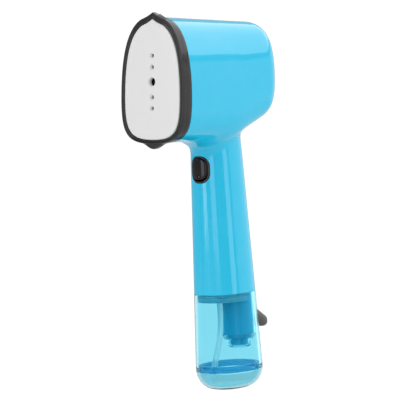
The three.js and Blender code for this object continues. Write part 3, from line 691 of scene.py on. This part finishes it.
def ring_row(outer, inner, y, share, drop=0.0):
    """One row between two outlines; `drop` pulls the row's foot down into the chin."""
    row = []
    for (x0, z0), (x1, z1) in zip(outline(IRON_HALF, outer), outline(IRON_HALF, inner)):
        x, z = x0 + (x1 - x0) * share, z0 + (z1 - z0) * share
        reach = max(0.0, 1 - abs(x) / 10.5)
        if z < outer[1] + 8:
            z -= drop * (3 * reach ** 2 - 2 * reach ** 3) ** 0.75 * (1 - share)
        row.append(Vector((x, FACE_Y + y, z)))
    return row


class STEAMER_OT_front(bpy.types.Operator):
    """Build the steam plate, its black ring and the collar"""

    bl_idname = "steamer.front"
    bl_label = "Steam plate and rings"

    def execute(self, context):
        edge = ((3.0, 0), (1.3, 0), (0.8, 0.12), (0.45, 0.35), (0.2, 0.7), (0.06, 1.1), (0, 1.6))
        plate = lofted("soleplate", [iron_row(PLATE, y, inset) for y, inset in edge])
        for z, radius in STEAM_HOLES:
            combine(plate, steam_hole(z, radius), "DIFFERENCE")
        smooth(plate, 30)
        finished(plate, "housing", "soleplate", finish("plate"), "steam_plate")

        hole = (PLATE[0] + GAP, PLATE[1] - GAP, PLATE[2] + GAP)
        section = (
            (4.8, 0.0), (4.4, 0.0), (1.7, 0.0), (1.2, 0.01), (0.75, 0.04), (0.45, 0.1), (0.32, 0.18),
            (0.3, 0.26),
            (0.3, 0.4), (0.42, 0.43), (0.62, 0.46), (0.62, 0.52), (0.42, 0.55), (0.3, 0.58), (0.3, 0.9),
            (0.4, 0.97), (0.7, 1.0), (4.8, 1.0),
        )
        rows = [ring_row(RING, hole, y, share, CHIN_DROP if y >= 1.7 else 0) for y, share in section]
        ring = looped("plate_ring_trim", rows)
        smooth(ring, 50)
        finished(ring, "housing", "dark_trim", finish("trim"), "plate_ring")

        inner = (COLLAR[0] - 2.6, COLLAR[1] + 2.6, COLLAR[2] - 2.6)
        section = ((4.9, 0.1), (5.0, 0.02), (5.2, 0), (9.5, 0), (9.85, 0.03), (10, 0.12), (10, 1), (4.9, 1))
        band = looped("collar_band", [ring_row(COLLAR, inner, y, share) for y, share in section])
        smooth(band, 50)
        finished(band, "housing", "dark_trim", finish("trim"), "head_collar")
        return {"FINISHED"}


# ---- trigger ----
def cap_outline(margin):
    """The trigger's outline: the window's, raised at the foot so that it clears the bezel when pressed."""
    top = TRIGGER_Z + TRIGGER_HEIGHT / 2
    return [(x, top - (top - z) * FOOT_CLEARANCE) for x, z in window_outline(margin)]


def front_row(points, proud, back=None):
    """Points of the trigger window lifted onto the handle's front, or at one depth."""
    row = []
    for x, z in points:
        y = back if back is not None else grip_front(x, z, proud)
        row.append(LEANING @ Vector((x, y, z)))
    return row


class STEAMER_OT_trigger(bpy.types.Operator):
    """Build the trigger and the bezel round it"""

    bl_idname = "steamer.trigger"
    bl_label = "Trigger"

    def execute(self, context):
        crown = context.scene.steamer_sizes.trigger_crown / MM
        rows = [front_row(cap_outline(-2), 0, -15.5), front_row(cap_outline(-2), crown - 1.1)]
        for margin, sink in ((-2.06, 0.65), (-2.25, 0.35), (-2.6, 0.14), (-3.1, 0.03), (-3.8, 0)):
            rows.append(front_row(cap_outline(margin), crown - sink))
        centre = [(x, z - TRIGGER_Z) for x, z in cap_outline(-3.8)]
        for share in (0.85, 0.65, 0.45, 0.25, 0.08):
            rows.append(front_row([(x * share, TRIGGER_Z + z * share) for x, z in centre], crown))
        cap = lofted("trigger_cap", rows)
        lens_bore = turned("bore", ((1.5, -8), (1.5, 0)), at(0, -15.8, 46.9, "Y", True), 24)
        combine(cap, lens_bore, "DIFFERENCE")
        smooth(cap, 50)
        finished(cap, "trigger_lever", "trigger_gloss", finish("trigger"), "trigger")

        rows = [
            front_row(window_outline(-0.3), 0, -15.5), front_row(window_outline(-0.3), 0.05),
            front_row(window_outline(-0.42), 0.28), front_row(window_outline(-0.7), 0.36),
            front_row(window_outline(-1.2), 0.36), front_row(window_outline(-1.42), 0.26),
            front_row(window_outline(-1.5), 0.0), front_row(window_outline(-1.5), 0, -15.5),
        ]
        rim = looped("trigger_rim", rows)
        smooth(rim, 50)
        finished(rim, "housing", "dark_trim", finish("trim"), "trigger_bezel")
        return {"FINISHED"}


# ---- tail housing and cord gland ----
def gland_place():
    turn = Matrix.Rotation(-(math.pi / 2 + GLAND_DROOP), 4, "X")
    return LEANING @ Matrix.Translation((0, GLAND_Y, GLAND_Z)) @ turn


def tail_profile(grow, top):
    return (
        (0.01, NUB_END - grow), (NUB_RADIUS - 0.8 + grow, NUB_END - grow),
        (NUB_RADIUS + grow, NUB_END + 0.8 - grow),
        (NUB_RADIUS + grow, TAIL_FLOOR - grow), (TAIL_RADIUS - 2.6 + 0.6 * grow, TAIL_FLOOR - grow),
        (TAIL_RADIUS + grow, TAIL_SHOULDER - 0.5 * grow), (TAIL_RADIUS + grow, top),
    )


class STEAMER_OT_tail(bpy.types.Operator):
    """Build the tail housing and the cord gland"""

    bl_idname = "steamer.tail"
    bl_label = "Tail and gland"

    def execute(self, context):
        axis = at(0, TAIL_Y, 0, "Z", True)
        cup = turned("tail_cup", tail_profile(0, JOINT_Z), axis, 72)
        combine(cup, grip_volume("limit", 0.3, -95, JOINT_Z + 4), "INTERSECT")
        hollow = turned("hollow", (
            (TAIL_RADIUS - 3.6, TAIL_FLOOR + 2), (TAIL_RADIUS - 2, TAIL_SHOULDER + 1),
            (TAIL_RADIUS - 2, JOINT_Z + 2)),
            axis, 72)
        combine(hollow, grip_volume("limit", 2, -95, JOINT_Z + 8), "INTERSECT")
        combine(cup, hollow, "DIFFERENCE")
        outlet = turned("outlet", ((GLAND_RADIUS + GAP, 0), (GLAND_RADIUS + GAP, 20)), gland_place(), 40)
        combine(cup, outlet, "DIFFERENCE")
        tidy_mesh(cup)
        smooth(cup, 35)
        finished(cup, "housing", "shell", finish("tail"), "tail_housing")

        profile = [(GLAND_RADIUS + 1.5, 0), (GLAND_RADIUS + 1.5, 1.6), (GLAND_RADIUS, 1.6)]
        tip = GLAND_LENGTH - GLAND_RADIUS
        profile += [(GLAND_RADIUS, tip * share) for share in (0.3, 0.6, 0.9)]
        for degrees in range(0, 56, 8):
            turn = math.radians(degrees)
            profile.append((GLAND_RADIUS * math.cos(turn), tip + 0.94 * GLAND_RADIUS * math.sin(turn)))
        profile += [(GLAND_BORE + 0.1, GLAND_LENGTH - 0.6), (GLAND_BORE, GLAND_LENGTH - 1.4), (GLAND_BORE, 8)]
        gland = turned("cord_gland_sleeve", profile, gland_place(), 48)
        smooth(gland, 50)
        finished(gland, "housing", "cable_rubber", finish("rubber"), "cord_gland")
        return {"FINISHED"}


# ---- water tank ----
def dome_volume(name, inset, top):
    start = SEAM_Z - GAP / 2
    depth = start - TANK_FLOOR_Z - inset
    corner = 13.4 - inset
    rows = [grip_row(top, inset)] if top > start else []
    for degrees in range(0, 91, 6):
        turn = math.radians(degrees)
        rows.append(grip_row(start, inset + corner * (1 - math.cos(turn)), start - depth * math.sin(turn)))
    return lofted(name, rows)


def flange(name, low, high):
    rim = grip_volume(name, TANK_WALL + 0.05, low, high)
    return combine(rim, grip_volume("hole", 5.2, low - 3, high + 3), "DIFFERENCE")


class STEAMER_OT_tank(bpy.types.Operator):
    """Build the clear water tank and its domed base"""

    bl_idname = "steamer.tank"
    bl_label = "Water tank"

    def execute(self, context):
        floor = SEAM_Z + GAP / 2
        rows = [grip_row(floor, 0.35), grip_row(floor + 0.35, 0)]
        rows += [grip_row(floor + (JOINT_Z - floor) * i / 6, 0) for i in range(1, 6)]
        rows += [grip_row(JOINT_Z - 0.35, 0), grip_row(JOINT_Z, 0.35)]
        tank = lofted("tank_wall", rows)
        combine(tank, grip_volume("water", TANK_WALL, floor - 4, JOINT_Z + 4), "DIFFERENCE")
        axis = at(0, TAIL_Y, 0, "Z", True)
        well = turned("well", tail_profile(WELL_GAP + WELL_WALL, JOINT_Z), axis, 72)
        combine(well, grip_volume("limit", 0.5, -95, JOINT_Z), "INTERSECT")
        combine(tank, well, "UNION")
        combine(tank, turned("pocket", tail_profile(WELL_GAP, JOINT_Z + 5), axis, 72), "DIFFERENCE")
        tidy_mesh(tank)
        smooth(tank, 35)
        finished(tank, "tank", "clear_tank", finish("tank"), "tank_body")

        top = SEAM_Z - GAP / 2
        base = dome_volume("tank_dome", 0, top)
        combine(base, dome_volume("water", TANK_WALL, top + 4), "DIFFERENCE")
        tidy_mesh(base)
        smooth(base, 35)
        finished(base, "tank", "clear_tank", finish("tank"), "tank_base")
        for name, low, high in (("upper_weld_rim", floor, floor + 2.2), ("lower_weld_rim", top - 2.2, top)):
            rim = flange(name, low, high)
            smooth(rim, 35)
            finished(rim, "tank", "clear_tank", finish("flange"))
        return {"FINISHED"}


class STEAMER_OT_inside(bpy.types.Operator):
    """Give the parts carried over from the frame their finishes"""

    bl_idname = "steamer.inside"
    bl_label = "Inner parts"

    def execute(self, context):
        for node, kind in CARRIED.items():
            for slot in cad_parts[node].material_slots:
                slot.material = finish(kind)
        return {"FINISHED"}


# ---- stage ----
VIEW_AZIMUTH = math.radians(43)
VIEW_DISTANCE = 3.35
FACE_CENTRE_Z = 115.6
AIM_RIGHT, AIM_DOWN = 0.036, 0.0872  # where the camera points, in metres from the plate's centre
LENS = 404.7
SOFTBOXES = (  # name, radiance, azimuth, elevation, width, height in degrees
    ("overhead_softbox", 1.5, 66, 42, 84, 44),
    ("side_softbox", 0.55, 66, -4, 74, 40),
    ("front_high_softbox", 0.48, -110, 52, 80, 40),
    ("front_strip", 2.6, -112, 0, 18, 60),
    ("camera_strip", 1.5, -66, 0, 26, 60),
    ("left_strip", 1.5, 10, 0, 20, 60),
)


def softbox(name, radiance, azimuth, elevation, width, height, distance=4.2):
    """A rectangular light seen from the object at an azimuth and elevation, all angles in degrees."""
    turn, rise = math.radians(azimuth), math.radians(elevation)
    towards = Vector((math.cos(turn) * math.cos(rise), math.sin(turn) * math.cos(rise), math.sin(rise)))
    focus = Vector((0, -0.01, 0.06))
    deselect()
    bpy.ops.object.light_add(type="AREA", location=focus + towards * distance)
    lamp = bpy.context.object
    lamp.name = name
    lamp.data.shape = "RECTANGLE"
    lamp.data.size = 2 * distance * math.tan(math.radians(width / 2))
    lamp.data.size_y = 2 * distance * math.tan(math.radians(height / 2))
    lamp.data.energy = radiance * math.pi * lamp.data.size * lamp.data.size_y
    lamp.rotation_euler = (-towards).to_track_quat("-Z", "Y").to_euler()


class STEAMER_OT_stage(bpy.types.Operator):
    """Set up the white studio, its lights and the camera"""

    bl_idname = "steamer.stage"
    bl_label = "Studio"

    def execute(self, context):
        scene = context.scene
        sizes = scene.steamer_sizes
        deselect()
        bpy.ops.mesh.primitive_circle_add(vertices=96, radius=2.4, fill_type="NGON", location=(0, 0, -0.3))
        floor = bpy.context.object
        floor.name = "studio_floor"
        white = bpy.data.materials.new("studio_white")
        white.use_nodes = True
        shader = white.node_tree.nodes["Principled BSDF"]
        shader.inputs["Base Color"].default_value = (0.8, 0.8, 0.8, 1)
        shader.inputs["Roughness"].default_value = 1.0
        shader.inputs["Specular IOR Level"].default_value = 0.0
        floor.data.materials.append(white)

        world = scene.world or bpy.data.worlds.new("studio")
        scene.world = world
        world.use_nodes = True
        tree = world.node_tree
        tree.nodes.clear()
        seen = tree.nodes.new("ShaderNodeBackground")
        seen.inputs["Color"].default_value = (1, 1, 1, 1)
        seen.inputs["Strength"].default_value = 1.05
        around = tree.nodes.new("ShaderNodeBackground")
        around.inputs["Color"].default_value = (1, 1, 1, 1)
        around.inputs["Strength"].default_value = sizes.ambience
        path = tree.nodes.new("ShaderNodeLightPath")
        mix = tree.nodes.new("ShaderNodeMixShader")
        output = tree.nodes.new("ShaderNodeOutputWorld")
        straight = tree.nodes.new("ShaderNodeMath")
        straight.operation = "MAXIMUM"
        tree.links.new(path.outputs["Is Camera Ray"], straight.inputs[0])
        tree.links.new(path.outputs["Is Transmission Ray"], straight.inputs[1])
        tree.links.new(straight.outputs["Value"], mix.inputs["Fac"])
        tree.links.new(around.outputs["Background"], mix.inputs[1])
        tree.links.new(seen.outputs["Background"], mix.inputs[2])
        tree.links.new(mix.outputs["Shader"], output.inputs["Surface"])

        for name, *shape in SOFTBOXES:
            softbox(name, *shape)
        scene.view_settings.view_transform = "Standard"

        right = Vector((math.cos(VIEW_AZIMUTH), math.sin(VIEW_AZIMUTH), 0))
        ahead = Vector((-math.sin(VIEW_AZIMUTH), math.cos(VIEW_AZIMUTH), 0))
        face = Vector((0, FACE_Y, FACE_CENTRE_Z)) * MM
        place = face - ahead * VIEW_DISTANCE
        aim = face + right * AIM_RIGHT - Vector((0, 0, AIM_DOWN))
        bpy.ops.object.camera_add(location=place, rotation=(aim - place).to_track_quat("-Z", "Y").to_euler())
        camera = bpy.context.object
        camera.name = "studio_camera"
        camera.data.lens = LENS
        camera.data.sensor_width = 36
        camera.data.clip_end = 100
        scene.camera = camera
        return {"FINISHED"}


class STEAMER_PT_panel(bpy.types.Panel):
    """The steamer's pieces and settings"""

    bl_label = "Garment steamer"
    bl_idname = "STEAMER_PT_panel"
    bl_space_type = "VIEW_3D"
    bl_region_type = "UI"
    bl_category = "Steamer"

    def draw(self, context):
        layout = self.layout
        for settings in (context.scene.steamer_finishes, context.scene.steamer_sizes):
            box = layout.box()
            for name in settings.__annotations__:
                box.prop(settings, name)
        for operator in OPERATORS:
            layout.operator(operator.bl_idname)


OPERATORS = (
    STEAMER_OT_shells, STEAMER_OT_front, STEAMER_OT_trigger, STEAMER_OT_tail, STEAMER_OT_tank,
    STEAMER_OT_inside, STEAMER_OT_stage,
)
CLASSES = (SteamerFinishes, SteamerSizes, *OPERATORS, STEAMER_PT_panel)


def register():
    for cls in CLASSES:
        bpy.utils.register_class(cls)
    bpy.types.Scene.steamer_finishes = bpy.props.PointerProperty(type=SteamerFinishes)
    bpy.types.Scene.steamer_sizes = bpy.props.PointerProperty(type=SteamerSizes)


def unregister():
    del bpy.types.Scene.steamer_sizes
    del bpy.types.Scene.steamer_finishes
    for cls in reversed(CLASSES):
        bpy.utils.unregister_class(cls)


def main():
    register()
    bpy.ops.steamer.shells()
    bpy.ops.steamer.front()
    bpy.ops.steamer.trigger()
    bpy.ops.steamer.tail()
    bpy.ops.steamer.tank()
    bpy.ops.steamer.inside()
    bpy.ops.steamer.stage()


if __name__ == "__main__":
    main()
